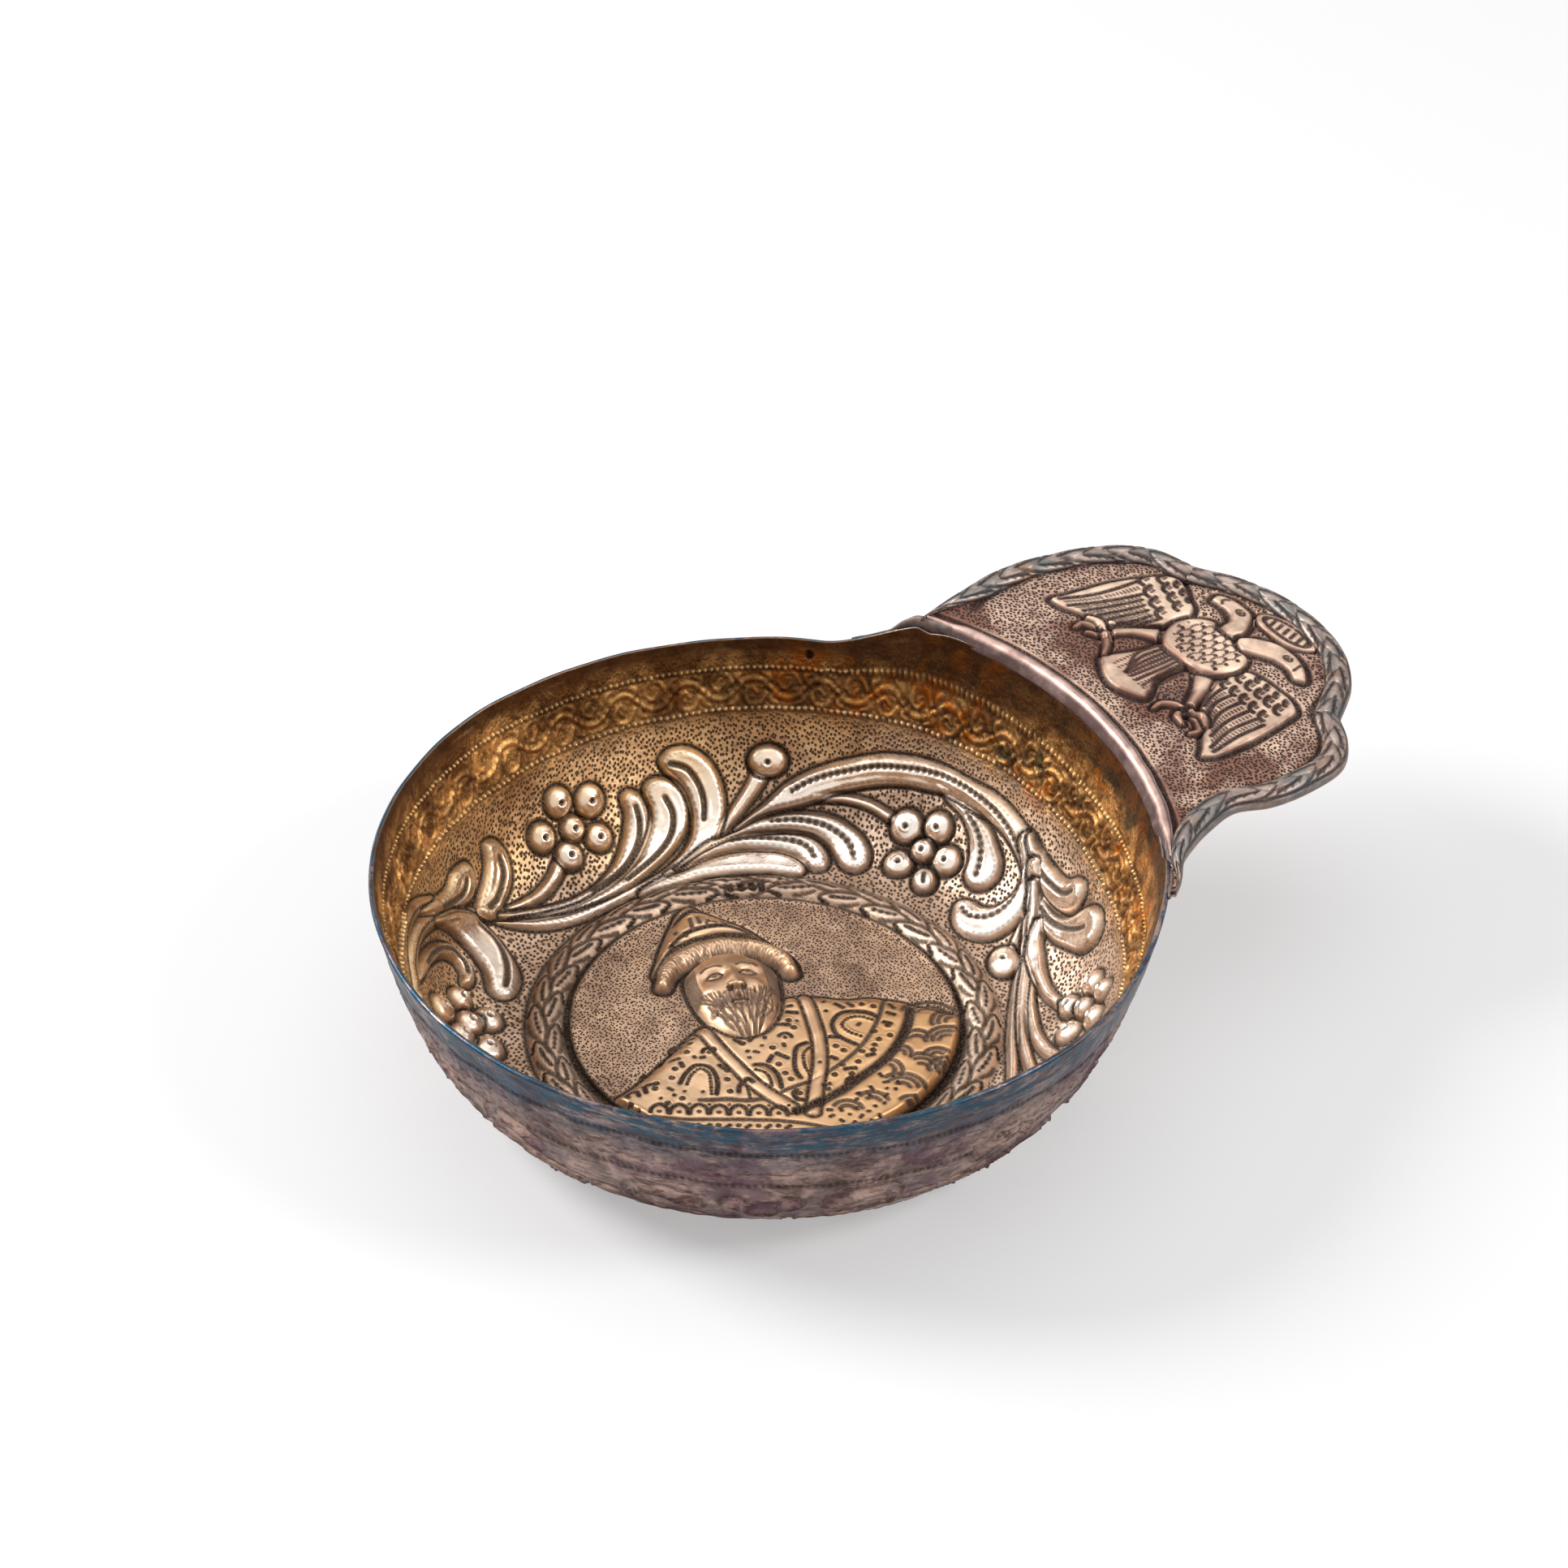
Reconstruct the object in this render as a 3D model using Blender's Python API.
"""A parcel-gilt silver kovsh: a shallow drinking bowl with one flat, lobed handle.

The bowl is one raised sheet, chased round its inside with stems, leaves and berries. A chased medallion disc
lies on its floor inside a laurel ring. The handle plate, with a raised two-headed eagle, is soldered to the
raised part of the rim, a half-round moulding covers that joint, and three laurel strips edge the handle.
Sizes are in millimetres here and become metres in the meshes.

The origin is at the middle of the bowl's flat base. +Z is up and +X points along the handle.
"""

import math

import bmesh
import bpy
from mathutils import Vector

MM = 0.001
SOLDER_GAP = 0.3
SHARP_DEG = 40.0
CHASED_SHARP_DEG = 75.0

# Bowl
SHEET = 0.8
RIM_RADIUS = 60.0
RIM_HEIGHT = 31.2
FLOOR_RADIUS = 36.6
FLOOR_REACH = 14.0
SHOULDER_RADIUS = 55.6
SHOULDER_HEIGHT = 12.0
BOWL_STEPS = 96
OUTSIDE_STEPS = 10
BAND_STEPS = 5

# Laurel ring on the floor
WREATH_INSIDE = 30.6
WREATH_OUTSIDE = 36.0
WREATH_RISE = 1.3
WREATH_STEPS = 6

# Stems, leaves and berries chased round the inside of the wall. They are drawn on the wall laid out flat and
# turned like the medallion, with the rim at SCROLL_DRAWING from the middle. A form is a line and its widths.
SCROLL_DRAWING = 77.7
SCROLL_TOP = 0.66
SCROLL_STEPS = 16
SCROLL_RISE = 1.5
SCROLL_BACK = 0.35
SCROLL_SPREAD = 1.35
BERRY_RADIUS = 3.1
SCROLL_LEFT = [
    ([(-55.0, -22.0), (-61.0, -12.0), (-63.0, -2.0), (-61.5, 7.0), (-56.5, 14.5)], (3.6, 3.6, 3.0)),
    ([(-50.0, -25.0), (-57.5, -12.0), (-59.5, -2.0), (-57.0, 9.5), (-43.0, 21.0)], (3.6, 3.6, 2.8)),
    ([(-43.0, 21.0), (-30.0, 24.5), (-19.0, 32.0), (-10.5, 41.0), (-9.5, 49.0), (-13.5, 55.5)], (2.6, 5.4)),
    ([(-33.0, 26.0), (-22.5, 34.0), (-16.5, 42.0), (-17.0, 49.5)], (2.2, 4.4, 5.2)),
    ([(-36.0, 24.5), (-27.0, 30.5), (-22.0, 38.0), (-22.0, 46.5)], (2.2, 3.8, 4.6)),
    ([(-14.0, 35.0), (-5.0, 39.2), (4.5, 39.2)], (2.6, 4.2)),
    ([(-11.0, 40.5), (-1.0, 46.3), (7.0, 46.3), (14.0, 40.0)], (3.0, 4.8)),
    ([(-50.0, 15.5), (-44.0, 14.5), (-40.7, 11.0), (-40.3, 6.0)], (4.0, 5.4)),
    ([(-57.0, -3.0), (-54.5, 4.5), (-50.0, 8.3), (-46.8, 5.8)], (3.0, 4.6)),
    ([(-56.0, 12.5), (-51.5, 18.0), (-50.5, 24.0)], (3.0, 5.0)),
    ([(-42.0, 21.0), (-44.0, 25.5), (-45.5, 31.5)], (4.0, 5.4)),
    ([(-42.5, 21.5), (-36.5, 26.5), (-33.2, 34.0)], (1.8, 2.8)),
    ([(-9.5, 42.0), (-5.0, 49.0), (-1.5, 55.5)], (2.0, 3.4)),
]
SCROLL_RIGHT = [
    ([(-5.0, 46.5), (4.0, 51.5), (15.0, 54.3), (26.0, 52.5), (36.0, 46.5), (44.5, 29.0)], (3.4, 5.2)),
    ([(44.0, 33.0), (41.0, 27.5), (36.5, 24.0), (32.0, 24.5), (31.0, 28.5)], (3.6, 5.6, 4.2)),
    ([(31.5, 48.5), (35.5, 41.5), (35.5, 36.0), (34.0, 32.0)], (3.0, 5.0)),
    ([(46.0, 32.0), (47.5, 27.0), (53.0, 21.5)], (3.4, 5.0)),
    ([(44.5, 26.0), (47.5, 18.5), (55.0, 13.5)], (3.4, 6.0)),
    ([(45.0, 31.0), (41.8, 17.0), (40.7, 3.0), (44.5, -9.5), (50.0, -16.0), (51.0, -23.0)], (2.6, 2.6, 3.2)),
    ([(43.0, 25.0), (39.0, 10.0), (37.8, -4.0), (37.4, -18.0)], (2.4, 2.2)),
    ([(43.0, 19.0), (42.5, 12.0), (45.5, 3.5)], (3.0, 2.4)),
]
SCROLL_FRONT = [
    ([(-50.0, -25.0), (-45.0, -35.0), (-31.0, -45.5), (-17.0, -50.0), (-4.0, -51.0)], (3.4, 3.0, 2.2)),
    ([(51.0, -23.0), (47.0, -33.0), (32.0, -45.5), (17.0, -50.5), (4.0, -51.0)], (3.4, 3.0, 2.2)),
    ([(-54.0, -20.0), (-49.0, -17.2), (-44.8, -20.5)], (3.0, 4.8)),
    ([(-49.0, -30.0), (-44.0, -25.0), (-39.0, -27.0)], (3.0, 5.0)),
    ([(-52.0, -27.0), (-55.3, -31.0), (-52.0, -35.5)], (3.0, 4.8)),
    ([(-42.5, -37.0), (-37.5, -31.0), (-32.5, -32.5)], (3.0, 5.0)),
    ([(-41.5, -39.0), (-43.5, -45.0), (-38.0, -48.0)], (3.0, 5.0)),
    ([(-27.0, -47.0), (-22.0, -40.0), (-16.0, -41.5)], (3.0, 5.0)),
    ([(-20.0, -49.5), (-18.5, -56.0), (-11.5, -56.0)], (3.0, 4.8)),
    ([(50.5, -20.0), (45.5, -25.5), (45.5, -30.5)], (3.0, 4.6)),
    ([(51.0, -23.0), (56.5, -26.0), (54.0, -31.5)], (3.0, 4.8)),
    ([(45.0, -35.5), (38.0, -30.5), (33.0, -33.0)], (3.0, 5.0)),
    ([(39.0, -41.0), (42.0, -47.0), (36.0, -50.0)], (3.0, 4.8)),
    ([(28.0, -47.0), (22.5, -40.5), (16.5, -41.8)], (3.0, 5.0)),
    ([(20.0, -50.0), (18.5, -56.5), (12.0, -56.5)], (3.0, 4.8)),
    ([(4.0, -51.0), (1.5, -44.0), (-4.5, -42.5)], (3.0, 4.6)),
]
BERRIES = [
    (-36.2, 44.0), (-30.4, 46.1), (-37.5, 37.4), (-27.5, 40.7), (-32.2, 36.2),
    (22.8, 44.4), (28.2, 43.2), (20.9, 38.3), (28.5, 37.2),
    (52.5, 2.6), (55.0, -1.8), (52.0, -6.2), (46.8, -4.6), (47.2, 1.5),
    (-47.3, 0.5), (-42.0, -1.6), (-50.8, -4.8), (-41.8, -8.2), (-46.6, -8.6),
    (-33.2, -38.6), (-28.2, -40.0), (31.2, -39.4), (26.6, -37.6), (36.2, -40.6),
    (0.0, -56.0), (-5.4, -58.4), (5.4, -58.4),
    (-0.3, 57.0), (37.0, 15.4),
]

# Rim where it climbs to the handle. Left and right are as seen from the bowl's middle, looking at the handle.
LEFT_RISE_DEG = (47.0, 25.0)
RIGHT_RISE_DEG = (58.0, 38.0)
RISE_ZONE = 7.0
HANDLE_LIFT = 5.0
HANDLE_TWIST_DEG = 3.5

# Medallion disc. Its drawing is turned against the handle by MEDALLION_TURN_DEG.
MEDALLION_SHEET = 0.6
MEDALLION_CLEARANCE = 0.4
MEDALLION_TURN_DEG = -35.5
MEDALLION_RINGS = 22
MEDALLION_STEPS = 64
BODY_RISE = 1.7
HEAD_RISE = 3.2
CAP_RISE = 2.9
# Middle and half sizes of the head and of the cap, as shares of the disc's radius.
HEAD_MIDDLE = (-0.152, 0.172)
HEAD_HALF = (0.377, 0.252)
CAP_MIDDLE = (-0.238, 0.517)
CAP_HALF = (0.364, 0.318)
HEAD_TILT_DEG = 103.0

# Handle plate
PLATE_THICKNESS = 1.0
HANDLE_REACH = 46.0
LEFT_WIDTH = RIM_RADIUS * 0.5933
RIGHT_WIDTH = RIM_RADIUS * 0.55
ROOT_LEFT_DEG = 31.5
ROOT_RIGHT_DEG = 42.0
ROOT_STEPS = 24
OUTLINE_STEPS = 6

# Rounded moulding over the joint. Its inner side steps down onto the rim, its outer side lies on the plate.
MOULDING_LIP = 0.2
MOULDING_FOOT = 1.8
MOULDING_DROP = 1.3
MOULDING_RISE = 1.1
MOULDING_LEFT_DEG = 29.5
MOULDING_RIGHT_DEG = 33.0
MOULDING_TAPER_DEG = 10.0
MOULDING_SEAT_DEG = 3.0
MOULDING_STEPS = 28

# Laurel strips round the handle
BORDER_WIDTH = 4.2
BORDER_RISE = 1.3
BORDER_END_SHARE = 0.25
LEFT_TAPER = 15.0
RIGHT_TAPER = 30.0
BORDER_INSET = 0.25
ROUND_SIDES = 8

# The two-headed eagle on the handle. It is drawn on a handle EAGLE_DRAWING long, from the wall outwards and to
# the left. A patch is a closed outline with its height, and a bar is a line with its widths and its height.
EAGLE_DRAWING = 46.0
EAGLE_ROOT = 0.4
EAGLE_STEPS = 2
EAGLE_SHOULDER = 0.72
BACK_WING = [
    (13.5, 24.5), (19.5, 24.3), (26.5, 22.7), (32.5, 19.8), (32.5, 15.0), (30.0, 10.5), (25.0, 10.0),
    (20.5, 13.0), (16.5, 15.0), (15.0, 19.5),
]
FRONT_WING = [
    (10.5, -18.0), (13.5, -13.0), (17.5, -7.5), (22.0, -5.5), (28.0, -6.5), (29.0, -12.0), (28.0, -17.5),
    (21.5, -19.0), (14.0, -19.2),
]
TAIL = [(22.0, 6.5), (17.0, 7.5), (11.0, 9.3), (8.3, 4.5), (9.3, -1.5), (13.0, -0.8), (17.0, 0.5), (22.0, 0.0)]
BODY = [
    (21.5, -1.0), (20.8, 4.5), (23.5, 9.3), (28.0, 9.3), (32.0, 5.0), (31.2, -0.5), (27.5, -4.5), (23.5, -3.7),
]
CROWN = [(38.6, 4.5), (40.4, 3.0), (41.2, -1.0), (41.0, -5.0), (40.0, -7.0), (38.4, -4.0), (37.8, 0.5)]
EAGLE_PATCHES = [(BACK_WING, 0.7), (FRONT_WING, 0.65), (TAIL, 0.6), (BODY, 0.95), (CROWN, 0.5)]
EAGLE_BARS = [
    ([(30.8, 3.6), (34.4, 4.4), (36.7, 6.8), (36.3, 9.2), (35.5, 11.8)], (3.2, 3.2, 2.6, 0.8), 0.8),
    ([(29.8, -2.2), (33.4, -0.6), (35.6, -4.0), (35.3, -8.4), (34.4, -12.0)], (3.2, 3.2, 2.6, 0.8), 0.75),
    ([(23.2, 8.4), (19.5, 11.6), (14.6, 13.8)], (2.4, 1.6), 0.57),
    ([(14.9, 13.4), (15.4, 16.0), (14.8, 18.4)], (1.5, 0.8), 0.47),
    ([(15.2, 14.0), (13.4, 12.0), (11.8, 9.6)], (1.5, 0.8), 0.43),
    ([(23.0, -2.6), (18.5, -5.6), (13.9, -8.6)], (2.4, 1.6), 0.55),
    ([(14.3, -8.9), (12.6, -5.4), (10.2, -4.8)], (1.6, 0.8), 0.45),
    ([(14.1, -8.2), (13.6, -11.6), (11.0, -13.2)], (1.6, 0.8), 0.49),
]

# The handle's outline, as shares of its reach from the rim and of its half width on that side.
LEFT_ROOT = [(-0.17, 0.90), (0.0, 0.955)]
LEFT_LOBE = [(0.23, 1.0), (0.44, 0.965), (0.62, 0.89), (0.75, 0.765), (0.825, 0.545)]
END_LOBE_LEFT = [(0.825, 0.545), (0.922, 0.36), (0.985, 0.15)]
END_LOBE_RIGHT = [(1.0, -0.06), (0.967, -0.31), (0.875, -0.515), (0.722, -0.685)]
RIGHT_LOBE = [(0.722, -0.685), (0.675, -0.82), (0.59, -0.945), (0.42, -1.0), (0.24, -0.99), (0.12, -0.935)]
RIGHT_ROOT = [(0.0, -0.97), (-0.108, -1.03), (-0.175, -1.08), (-0.26, -1.2), (-0.308, -1.25)]


def clamp(value):
    return max(0.0, min(1.0, value))


def smooth(value):
    share = clamp(value)
    return share * share * (3.0 - 2.0 * share)


def material(name, colour, roughness):
    made = bpy.data.materials.new(name)
    made.use_nodes = True
    shader = made.node_tree.nodes["Principled BSDF"]
    shader.inputs["Base Color"].default_value = (*colour, 1.0)
    shader.inputs["Roughness"].default_value = roughness
    shader.inputs["Metallic"].default_value = 1.0
    return made


def add_object(name, shape, finish, parent=None, sharp_deg=SHARP_DEG):
    """Turns a bmesh in millimetres into a named object in metres, smooth-shaded between its sharp edges."""
    bmesh.ops.recalc_face_normals(shape, faces=shape.faces)
    bmesh.ops.scale(shape, vec=(MM, MM, MM), verts=shape.verts)
    mesh = bpy.data.meshes.new(name)
    shape.to_mesh(mesh)
    shape.free()
    mesh.shade_smooth()
    mesh.set_sharp_from_angle(angle=math.radians(sharp_deg))
    if finish:
        mesh.materials.append(finish)
    made = bpy.data.objects.new(name, mesh)
    bpy.context.scene.collection.objects.link(made)
    made.parent = parent
    return made


def spline(points, steps):
    """A smooth curve through the points, with that many steps between each two."""
    ends = [points[0] * 2 - points[1], *points, points[-1] * 2 - points[-2]]
    curve = []
    for before, start, stop, after in zip(ends, ends[1:], ends[2:], ends[3:]):
        for step in range(steps):
            t = step / steps
            curve.append(
                0.5
                * (
                    start * 2
                    + (stop - before) * t
                    + (before * 2 - start * 5 + stop * 4 - after) * t * t
                    + (start * 3 - before - stop * 3 + after) * t**3
                )
            )
    return [*curve, points[-1]]


def wall_point(t):
    """The outside of the bowl's wall, from the edge of the flat base at 0 to the rim at 1, with its normal."""
    knots = [
        Vector((FLOOR_RADIUS, 0.0)),
        Vector((FLOOR_RADIUS + FLOOR_REACH, 0.0)),
        Vector((SHOULDER_RADIUS, SHOULDER_HEIGHT)),
        Vector((RIM_RADIUS, RIM_HEIGHT)),
    ]
    back = 1.0 - t
    weights = [back**3, 3 * back * back * t, 3 * back * t * t, t**3]
    point = sum((knot * weight for knot, weight in zip(knots, weights)), Vector((0.0, 0.0)))
    slopes = [back * back, 2 * back * t, t * t]
    tangent = sum(((b - a) * w for a, b, w in zip(knots, knots[1:], slopes)), Vector((0.0, 0.0)))
    tangent.normalize()
    return point, Vector((-tangent.y, tangent.x))


def rim_lean():
    """How far the wall leans out for each millimetre that it rises, at the rim."""
    return (RIM_RADIUS - SHOULDER_RADIUS) / (RIM_HEIGHT - SHOULDER_HEIGHT)


def along_of(line):
    """How far along the line each of its points lies."""
    lengths = [0.0]
    for start, stop in zip(line, line[1:]):
        lengths.append(lengths[-1] + (stop - start).length)
    return lengths


def drawn_forms(reach):
    """The chased forms as (smooth line, lengths along it, widths), with the rim at the given reach."""
    scale = reach / SCROLL_DRAWING
    forms = []
    for points, widths in SCROLL_LEFT + SCROLL_RIGHT + SCROLL_FRONT:
        line = spline([Vector(point) * scale for point in points], 4)
        forms.append((line, along_of(line), [width * scale for width in widths]))
    return forms


def nearest(spot, line, lengths):
    """The distance from the spot to the line and how far along the line that place is, as a share of it."""
    best, share = math.inf, 0.0
    for start, stop, begin in zip(line, line[1:], lengths):
        step = stop - start
        part = clamp((spot - start).dot(step) / step.length_squared)
        gap = (start + step * part - spot).length
        if gap < best:
            best, share = gap, (begin + step.length * part) / lengths[-1]
    return best, share


def scroll_rise(spot, forms, reach):
    """Height of the chased stems, leaves and berries at a spot of the wall laid out flat."""
    rise = 0.0
    for line, lengths, widths in forms:
        if min((point - spot).length for point in line) > reach / 8:
            continue
        gap, share = nearest(spot, line, lengths)
        place = share * (len(widths) - 1)
        low = min(int(place), len(widths) - 2)
        half = 0.5 * (widths[low] + (widths[low + 1] - widths[low]) * (place - low))
        rise = max(rise, smooth(1.25 * (1.0 - gap / (half * SCROLL_SPREAD))))
    scale = reach / SCROLL_DRAWING
    for berry in BERRIES:
        gap = (Vector(berry) * scale - spot).length
        rise = max(rise, smooth(1.25 * (1.0 - gap / (BERRY_RADIUS * scale))))
    return rise * SCROLL_RISE


def full_rise(angle):
    """How far the handle's plane is above the usual rim at that angle from the handle, in radians."""
    return HANDLE_LIFT + RIM_RADIUS * math.sin(angle) * math.tan(math.radians(HANDLE_TWIST_DEG))


def rim_rise(angle):
    """How far the rim stands above its usual height there. It leaves room under the moulding."""
    start, full = LEFT_RISE_DEG if angle > 0.0 else RIGHT_RISE_DEG
    end = MOULDING_LEFT_DEG if angle > 0.0 else MOULDING_RIGHT_DEG
    degrees = abs(math.degrees(angle))
    climb = smooth((start - degrees) / (start - full)) * full_rise(angle)
    under = smooth((end + MOULDING_SEAT_DEG - degrees) / MOULDING_SEAT_DEG)
    return climb - MOULDING_DROP * under


def ring(shape, radius, height, steps, normal=None, offsets=None):
    """A ring of points round the axis, each moved along the sheet's normal by its offset."""
    points = []
    for step in range(steps):
        angle = math.tau * step / steps
        offset = offsets[step] if offsets else 0.0
        across = radius + normal.x * offset if normal else radius
        level = height + normal.y * offset if normal else height
        points.append(shape.verts.new((across * math.cos(angle), across * math.sin(angle), level)))
    return points


def join_rings(shape, first, second):
    """Faces between two rings of points. The second may have as many points, twice as many or half as many."""
    if len(second) < len(first):
        first, second = second, first
    for step, start in enumerate(first):
        after = first[(step + 1) % len(first)]
        if len(second) == len(first):
            shape.faces.new((start, after, second[(step + 1) % len(second)], second[step]))
        else:
            left, middle, right = (second[(2 * step + k) % len(second)] for k in range(3))
            shape.faces.new((start, middle, left))
            shape.faces.new((start, after, middle))
            shape.faces.new((after, right, middle))


def wall_lengths(steps):
    """How far along the inner face of the wall each step lies."""
    return along_of([point + normal * SHEET for point, normal in map(wall_point, steps)])


def wall_rings(shape, steps, columns, depth, share):
    """Rings up the wall, at that depth in the sheet, with that share of the chased forms' height."""
    whole = wall_lengths([step / 100 for step in range(101)])
    reach = WREATH_OUTSIDE + whole[-1]
    forms = drawn_forms(reach)
    turn = math.radians(MEDALLION_TURN_DEG)
    rings = []
    for step, count in zip(steps, columns):
        point, normal = wall_point(step)
        distance = WREATH_OUTSIDE + wall_lengths([step * part / 20 for part in range(21)])[-1]
        offsets = []
        for column in range(count):
            angle = math.tau * column / count - turn
            spot = Vector((distance * math.cos(angle), distance * math.sin(angle)))
            offsets.append(depth + share * scroll_rise(spot, forms, reach) if step < 1.0 else depth)
        rings.append(ring(shape, point.x, point.y, count, normal, offsets))
    return rings


def make_bowl(finish):
    shape = bmesh.new()
    wreath = []
    for step in range(WREATH_STEPS + 1):
        share = step / WREATH_STEPS
        radius = WREATH_INSIDE + (WREATH_OUTSIDE - WREATH_INSIDE) * share
        wreath.append((radius, WREATH_RISE * math.sin(math.pi * share)))
    fine = [SCROLL_TOP * step / SCROLL_STEPS for step in range(SCROLL_STEPS + 1)]
    band = [SCROLL_TOP + (1.0 - SCROLL_TOP) * (step + 1) / BAND_STEPS for step in range(BAND_STEPS)]
    columns = [2 * BOWL_STEPS] * len(fine) + [BOWL_STEPS] * len(band)
    inside = [ring(shape, radius, height + SHEET, BOWL_STEPS) for radius, height in wreath]
    inside += wall_rings(shape, fine + band, columns, SHEET, 1.0)
    outside = [ring(shape, radius, height, BOWL_STEPS) for radius, height in wreath]
    coarse = [step / OUTSIDE_STEPS for step in range(OUTSIDE_STEPS + 1)]
    outside += wall_rings(shape, coarse, [BOWL_STEPS] * len(coarse), 0.0, SCROLL_BACK)
    for vertex in inside[-1]:
        vertex.co.z = RIM_HEIGHT
    rings = inside + outside[::-1]
    for first, second in zip(rings, rings[1:]):
        join_rings(shape, first, second)
    for edge_ring, height in ((inside[0], SHEET), (outside[0], 0.0)):
        middle = shape.verts.new((0.0, 0.0, height))
        for step, vertex in enumerate(edge_ring):
            shape.faces.new((middle, vertex, edge_ring[(step + 1) % len(edge_ring)]))
    for vertex in shape.verts:
        share = smooth((vertex.co.z - RIM_HEIGHT + RISE_ZONE) / RISE_ZONE)
        climb = share * rim_rise(math.atan2(vertex.co.y, vertex.co.x))
        if climb > 0.0:
            outward = Vector((vertex.co.x, vertex.co.y, 0.0)).normalized()
            vertex.co += outward * climb * rim_lean() + Vector((0.0, 0.0, climb))
    bmesh.ops.triangulate(shape, faces=shape.faces)
    return add_object("bowl", shape, finish, sharp_deg=CHASED_SHARP_DEG)


def dome(x, y, radius, middle, half, turn_deg):
    """1 at the middle of an ellipse and 0 at its edge and beyond, rounded like a pillow."""
    turn = math.radians(turn_deg)
    east, north = x / radius - middle[0], y / radius - middle[1]
    along = (east * math.cos(turn) + north * math.sin(turn)) / half[0]
    across = (north * math.cos(turn) - east * math.sin(turn)) / half[1]
    return math.sqrt(max(0.0, 1.0 - along * along - across * across))


def bust_rise(x, y, radius):
    """Height of the bearded, capped bust above the medallion's field, at a point of its drawing."""
    unit = radius / 30.0
    edge = smooth((radius - math.hypot(x, y)) / (1.5 * unit))
    below_right = 4.5 * unit - y - max(0.0, x - 8.0 * unit) * 0.16
    below_left = 14.5 * unit + x - y
    shoulders = smooth(min(below_right, below_left) / (3.5 * unit))
    body = BODY_RISE * shoulders * edge
    head = HEAD_RISE * dome(x, y, radius, HEAD_MIDDLE, HEAD_HALF, HEAD_TILT_DEG)
    cap = CAP_RISE * dome(x, y, radius, CAP_MIDDLE, CAP_HALF, HEAD_TILT_DEG)
    return max(body, head, cap)


def make_medallion(finish):
    """A thin disc, hollow behind the bust as pressed sheet is, lying on the bowl's floor."""
    radius = WREATH_INSIDE - MEDALLION_CLEARANCE
    seat = SHEET + SOLDER_GAP
    turn = math.radians(MEDALLION_TURN_DEG)
    shape = bmesh.new()

    def ring_of(distance, base, hollow):
        if distance == 0.0:
            places = [(0.0, 0.0)]
        else:
            steps = [math.tau * step / MEDALLION_STEPS for step in range(MEDALLION_STEPS)]
            places = [(distance * math.cos(a), distance * math.sin(a)) for a in steps]
        ring = []
        for x, y in places:
            rise = bust_rise(x, y, radius) * hollow
            east = x * math.cos(turn) - y * math.sin(turn)
            north = x * math.sin(turn) + y * math.cos(turn)
            ring.append(shape.verts.new((east, north, base + rise)))
        return ring

    distances = [radius * ring / MEDALLION_RINGS for ring in range(MEDALLION_RINGS + 1)]
    front = [ring_of(distance, seat + MEDALLION_SHEET, 1.0) for distance in distances]
    back = [ring_of(distance, seat, 0.92) for distance in distances]
    for inner, outer in [*zip(front, front[1:]), *zip(back, back[1:]), (front[-1], back[-1])]:
        for step in range(MEDALLION_STEPS):
            after = (step + 1) % MEDALLION_STEPS
            if len(inner) == 1:
                shape.faces.new((inner[0], outer[step], outer[after]))
            else:
                shape.faces.new((inner[step], outer[step], outer[after], inner[after]))
    bmesh.ops.triangulate(shape, faces=shape.faces)
    return add_object("medallion", shape, finish)


def handle_frame():
    """The plane of the handle's upper face, lifted above the rim and a little twisted."""
    frame = bpy.data.objects.new("handle_frame", None)
    frame.location = (0.0, 0.0, (RIM_HEIGHT + HANDLE_LIFT) * MM)
    frame.rotation_euler = (math.radians(HANDLE_TWIST_DEG), 0.0, 0.0)
    bpy.context.scene.collection.objects.link(frame)
    return frame


def outline_point(share):
    """A point of the handle's outline from its shares of the reach and of the half width."""
    width = LEFT_WIDTH if share[1] > 0.0 else RIGHT_WIDTH
    return Vector((RIM_RADIUS + share[0] * HANDLE_REACH, share[1] * width))


def lobes():
    """The outline's three smooth stretches, from the left root round the tip to the right root."""
    stretches = [LEFT_ROOT + LEFT_LOBE, END_LOBE_LEFT + END_LOBE_RIGHT, RIGHT_LOBE + RIGHT_ROOT]
    return [spline([outline_point(share) for share in stretch], OUTLINE_STEPS) for stretch in stretches]


def root_arc(offset, start_deg, stop_deg, steps):
    """An arc in the handle's plane, that far outside the bowl's wall where the wall meets the plane."""
    points = []
    for step in range(steps + 1):
        angle = math.radians(start_deg + (stop_deg - start_deg) * step / steps)
        radius = RIM_RADIUS + full_rise(angle) * rim_lean() + offset
        points.append(Vector((radius * math.cos(angle), radius * math.sin(angle))))
    return points


def placed(points):
    """Points of the eagle's drawing, set on the handle."""
    scale = HANDLE_REACH / EAGLE_DRAWING
    return [Vector((RIM_RADIUS + x * scale, y * scale)) for x, y in points]


def raised_form(foot, top, rise):
    """A low solid on the plate's upper face, rooted in the plate, with its top edge drawn in."""
    shape = bmesh.new()
    levels = []
    for edge, height in ((foot, -EAGLE_ROOT), (foot, rise * 0.5), (top, rise)):
        levels.append([shape.verts.new((point.x, point.y, height)) for point in edge])
    for lower, upper in zip(levels, levels[1:]):
        join_rings(shape, lower, upper)
    shape.faces.new(levels[0])
    shape.faces.new(levels[-1])
    bmesh.ops.triangulate(shape, faces=shape.faces)
    return add_object("raised_form", shape, None)


def raised_patch(outline, rise):
    points = placed(outline)
    foot = spline([*points, points[0]], EAGLE_STEPS)[:-1]
    middle = sum(foot, Vector((0.0, 0.0))) / len(foot)
    top = [middle + (point - middle) * EAGLE_SHOULDER for point in foot]
    return raised_form(foot, top, rise)


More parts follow.
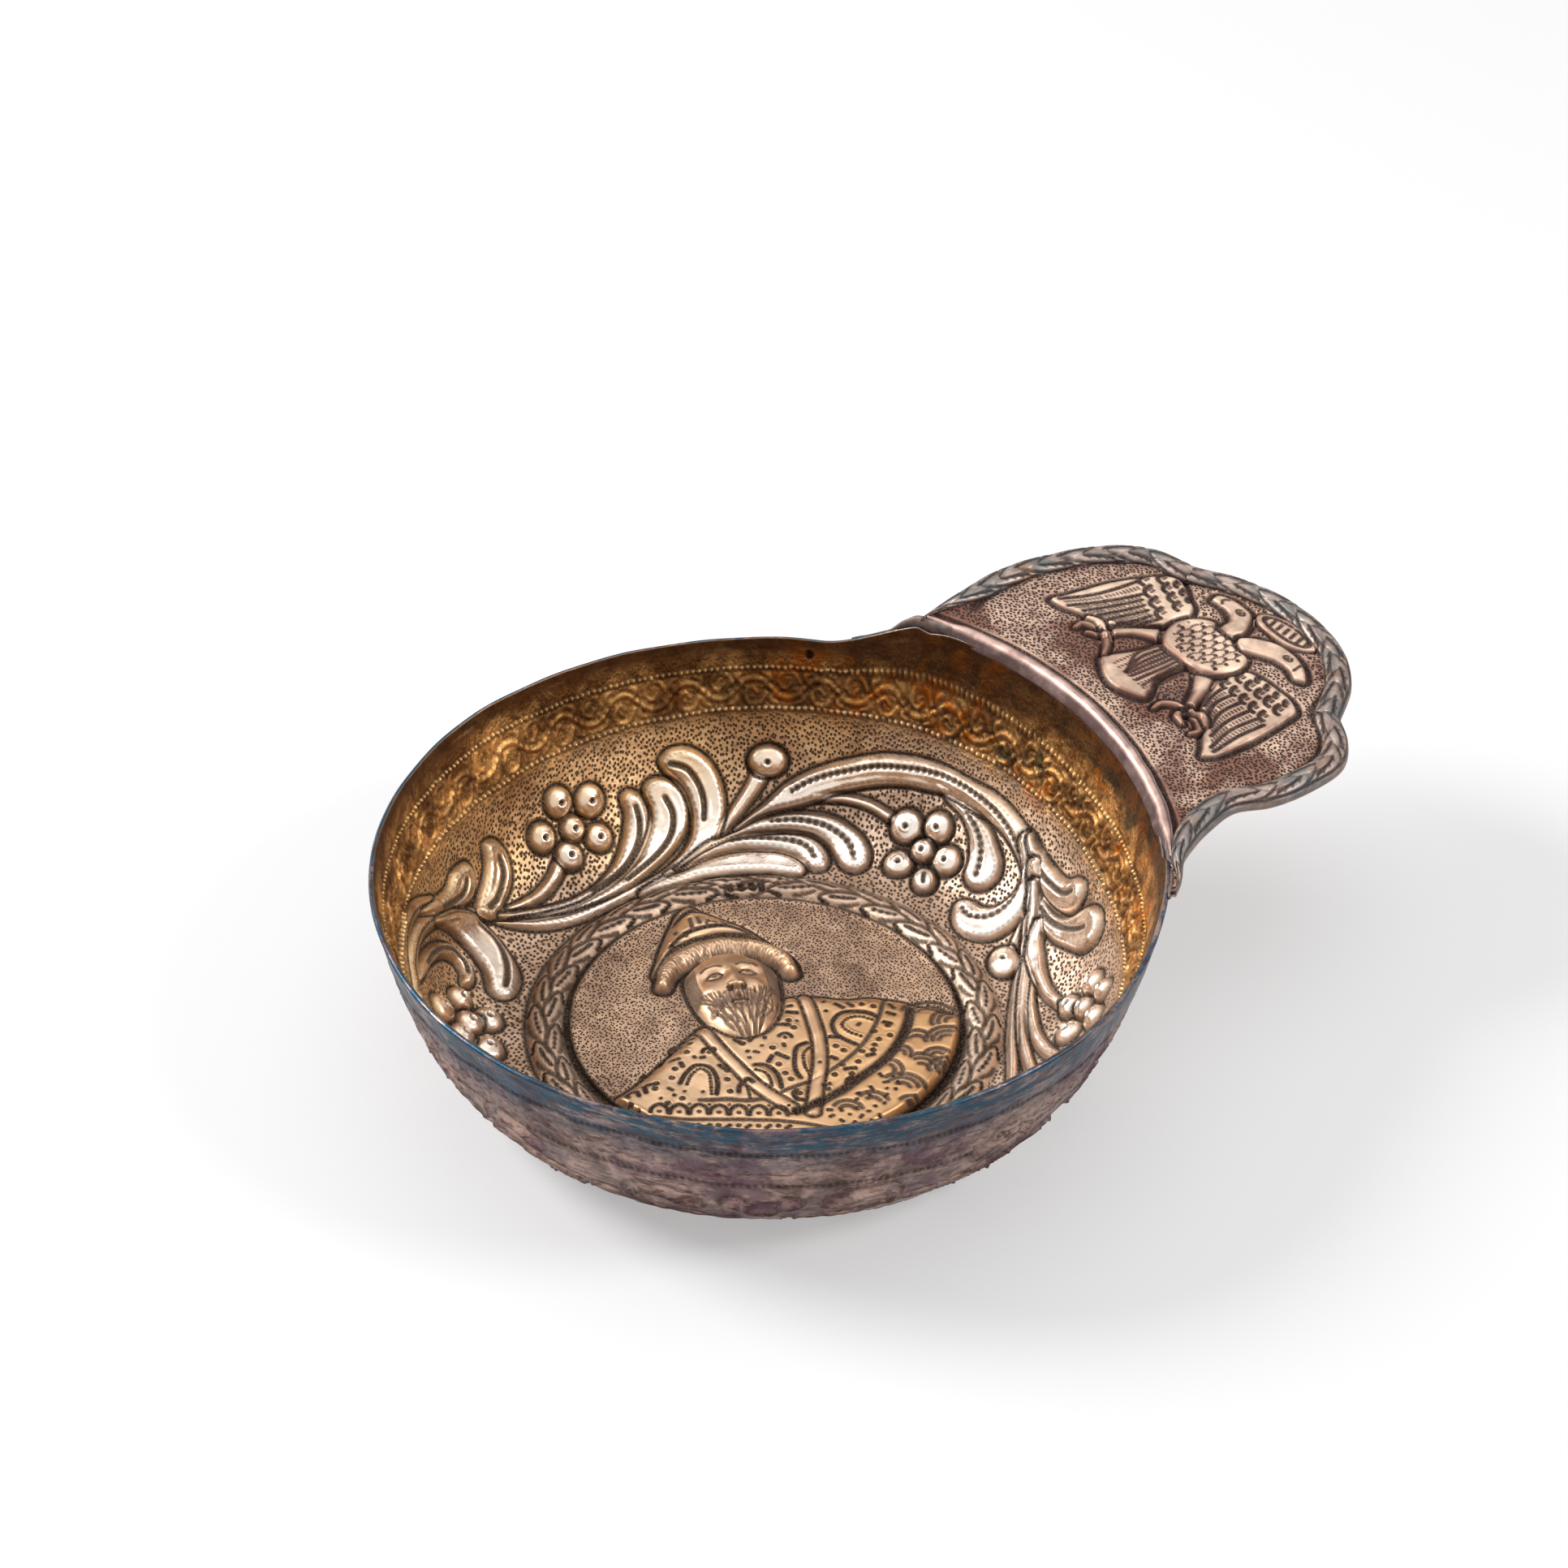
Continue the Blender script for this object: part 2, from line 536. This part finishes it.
def raised_bar(points, widths, rise):
    line = spline(placed(points), EAGLE_STEPS)
    scale = HANDLE_REACH / EAGLE_DRAWING
    edges = []
    for shrink in (1.0, EAGLE_SHOULDER * 0.8):
        left, right = [], []
        for step, point in enumerate(line):
            along = (line[min(step + 1, len(line) - 1)] - line[max(step - 1, 0)]).normalized()
            place = step / (len(line) - 1) * (len(widths) - 1)
            low = min(int(place), len(widths) - 2)
            half = 0.5 * scale * (widths[low] + (widths[low + 1] - widths[low]) * (place - low)) * shrink
            across = Vector((-along.y, along.x)) * half
            left.append(point + across)
            right.append(point - across)
        edges.append(left + right[::-1])
    return raised_form(*edges, rise)


def unite(body, forms):
    """Joins the forms to the body as one solid."""
    for form in forms:
        joint = body.modifiers.new("joint", "BOOLEAN")
        joint.operation = "UNION"
        joint.solver = "EXACT"
        joint.object = form
    graph = bpy.context.evaluated_depsgraph_get()
    whole = bpy.data.meshes.new_from_object(body.evaluated_get(graph))
    whole.set_sharp_from_angle(angle=math.radians(SHARP_DEG / 2))
    body.modifiers.clear()
    body.data = whole
    for form in forms:
        bpy.data.objects.remove(form, do_unlink=True)


def make_plate(finish, parent):
    left, end, right = lobes()
    edge = [*left, *end[1:], *right[1:]]
    edge += root_arc(SOLDER_GAP, -ROOT_RIGHT_DEG, ROOT_LEFT_DEG, ROOT_STEPS)
    shape = bmesh.new()
    face = shape.faces.new([shape.verts.new((p.x, p.y, 0.0)) for p in edge])
    grown = bmesh.ops.extrude_face_region(shape, geom=[face])
    moved = [item for item in grown["geom"] if isinstance(item, bmesh.types.BMVert)]
    bmesh.ops.translate(shape, verts=moved, vec=(0.0, 0.0, -PLATE_THICKNESS))
    bmesh.ops.triangulate(shape, faces=shape.faces)
    plate = add_object("handle_plate", shape, finish)
    forms = [raised_patch(outline, rise) for outline, rise in EAGLE_PATCHES]
    forms += [raised_bar(points, widths, rise) for points, widths, rise in EAGLE_BARS]
    unite(plate, forms)
    plate.parent = parent
    return plate


def half_round(width, rise, drop=0.0):
    """A rounded section as (distance across, height) pairs. Its far side stands lower than its near one."""
    section = []
    for side in range(ROUND_SIDES + 1):
        angle = math.pi * side / ROUND_SIDES
        share = 0.5 * (1.0 - math.cos(angle))
        section.append((width * share, SOLDER_GAP + rise * math.sin(angle) - drop * share))
    return section


def sweep(name, spine, inward, sections, finish, parent):
    """A bar on the plate: the spine is the foot of its outer side, and each section lies across it."""
    shape = bmesh.new()
    loops = []
    for point, across, section in zip(spine, inward, sections):
        places = [(point + across * distance, height) for distance, height in section]
        loops.append([shape.verts.new((place.x, place.y, height)) for place, height in places])
    for first, second in zip(loops, loops[1:]):
        for side, _ in enumerate(first):
            after = (side + 1) % len(first)
            shape.faces.new((first[side], first[after], second[after], second[side]))
    shape.faces.new(loops[0])
    shape.faces.new(loops[-1])
    bmesh.ops.triangulate(shape, faces=shape.faces)
    return add_object(name, shape, finish, parent)


def make_moulding(finish, parent):
    wall = root_arc(0.0, -MOULDING_RIGHT_DEG, MOULDING_LEFT_DEG, MOULDING_STEPS)
    inside = SHEET + MOULDING_LIP
    spine, inward, sections = [], [], []
    for step, point in enumerate(wall):
        angle = -MOULDING_RIGHT_DEG + (MOULDING_RIGHT_DEG + MOULDING_LEFT_DEG) * step / MOULDING_STEPS
        near_end = min(angle + MOULDING_RIGHT_DEG, MOULDING_LEFT_DEG - angle)
        share = 0.35 + 0.65 * smooth(near_end / MOULDING_TAPER_DEG)
        outward = point.normalized()
        spine.append(point + outward * MOULDING_FOOT * share)
        inward.append(-outward)
        width = MOULDING_FOOT * share + inside
        round_top = half_round(width, MOULDING_RISE * (0.5 + 0.5 * share), MOULDING_DROP)
        ledge = [(width - inside, SOLDER_GAP - MOULDING_DROP), (width - inside, SOLDER_GAP)]
        sections.append(round_top + ledge)
    return sweep("root_moulding", spine, inward, sections, finish, parent)


def make_border(name, stretch, finish, parent, start_taper=0.0, end_taper=0.0):
    """One laurel strip along a stretch of the outline. It thins towards an end that has a taper."""
    lengths = [0.0]
    for start, stop in zip(stretch, stretch[1:]):
        lengths.append(lengths[-1] + (stop - start).length)
    inward, sections = [], []
    for step, _ in enumerate(stretch):
        before, after = stretch[max(0, step - 1)], stretch[min(len(stretch) - 1, step + 1)]
        tangent = (after - before).normalized()
        inward.append(Vector((tangent.y, -tangent.x)))
        share = 1.0
        if start_taper:
            share = smooth(lengths[step] / start_taper)
        if end_taper:
            share = smooth((lengths[-1] - lengths[step]) / end_taper)
        share = BORDER_END_SHARE + (1.0 - BORDER_END_SHARE) * share
        sections.append(half_round(BORDER_WIDTH * share, BORDER_RISE * (0.5 + 0.5 * share)))
    ends = (stretch[1] - stretch[0]).normalized(), (stretch[-2] - stretch[-1]).normalized()
    spine = [stretch[0] + ends[0] * BORDER_INSET, *stretch[1:-1], stretch[-1] + ends[1] * BORDER_INSET]
    return sweep(name, spine, inward, sections, finish, parent)


def main():
    for old in list(bpy.data.objects):
        bpy.data.objects.remove(old, do_unlink=True)
    parcel_gilt = material("parcel_gilt_silver", (0.55, 0.43, 0.30), 0.35)
    pale_silver = material("pale_silver", (0.66, 0.57, 0.45), 0.32)
    dark_silver = material("tarnished_silver", (0.50, 0.42, 0.38), 0.42)
    make_bowl(parcel_gilt)
    make_medallion(pale_silver)
    frame = handle_frame()
    make_plate(dark_silver, frame)
    make_moulding(dark_silver, frame)
    left, end, right = lobes()
    make_border("border_left", left, dark_silver, frame, start_taper=LEFT_TAPER)
    make_border("border_end", end, dark_silver, frame)
    make_border("border_right", right, dark_silver, frame, end_taper=RIGHT_TAPER)


main()
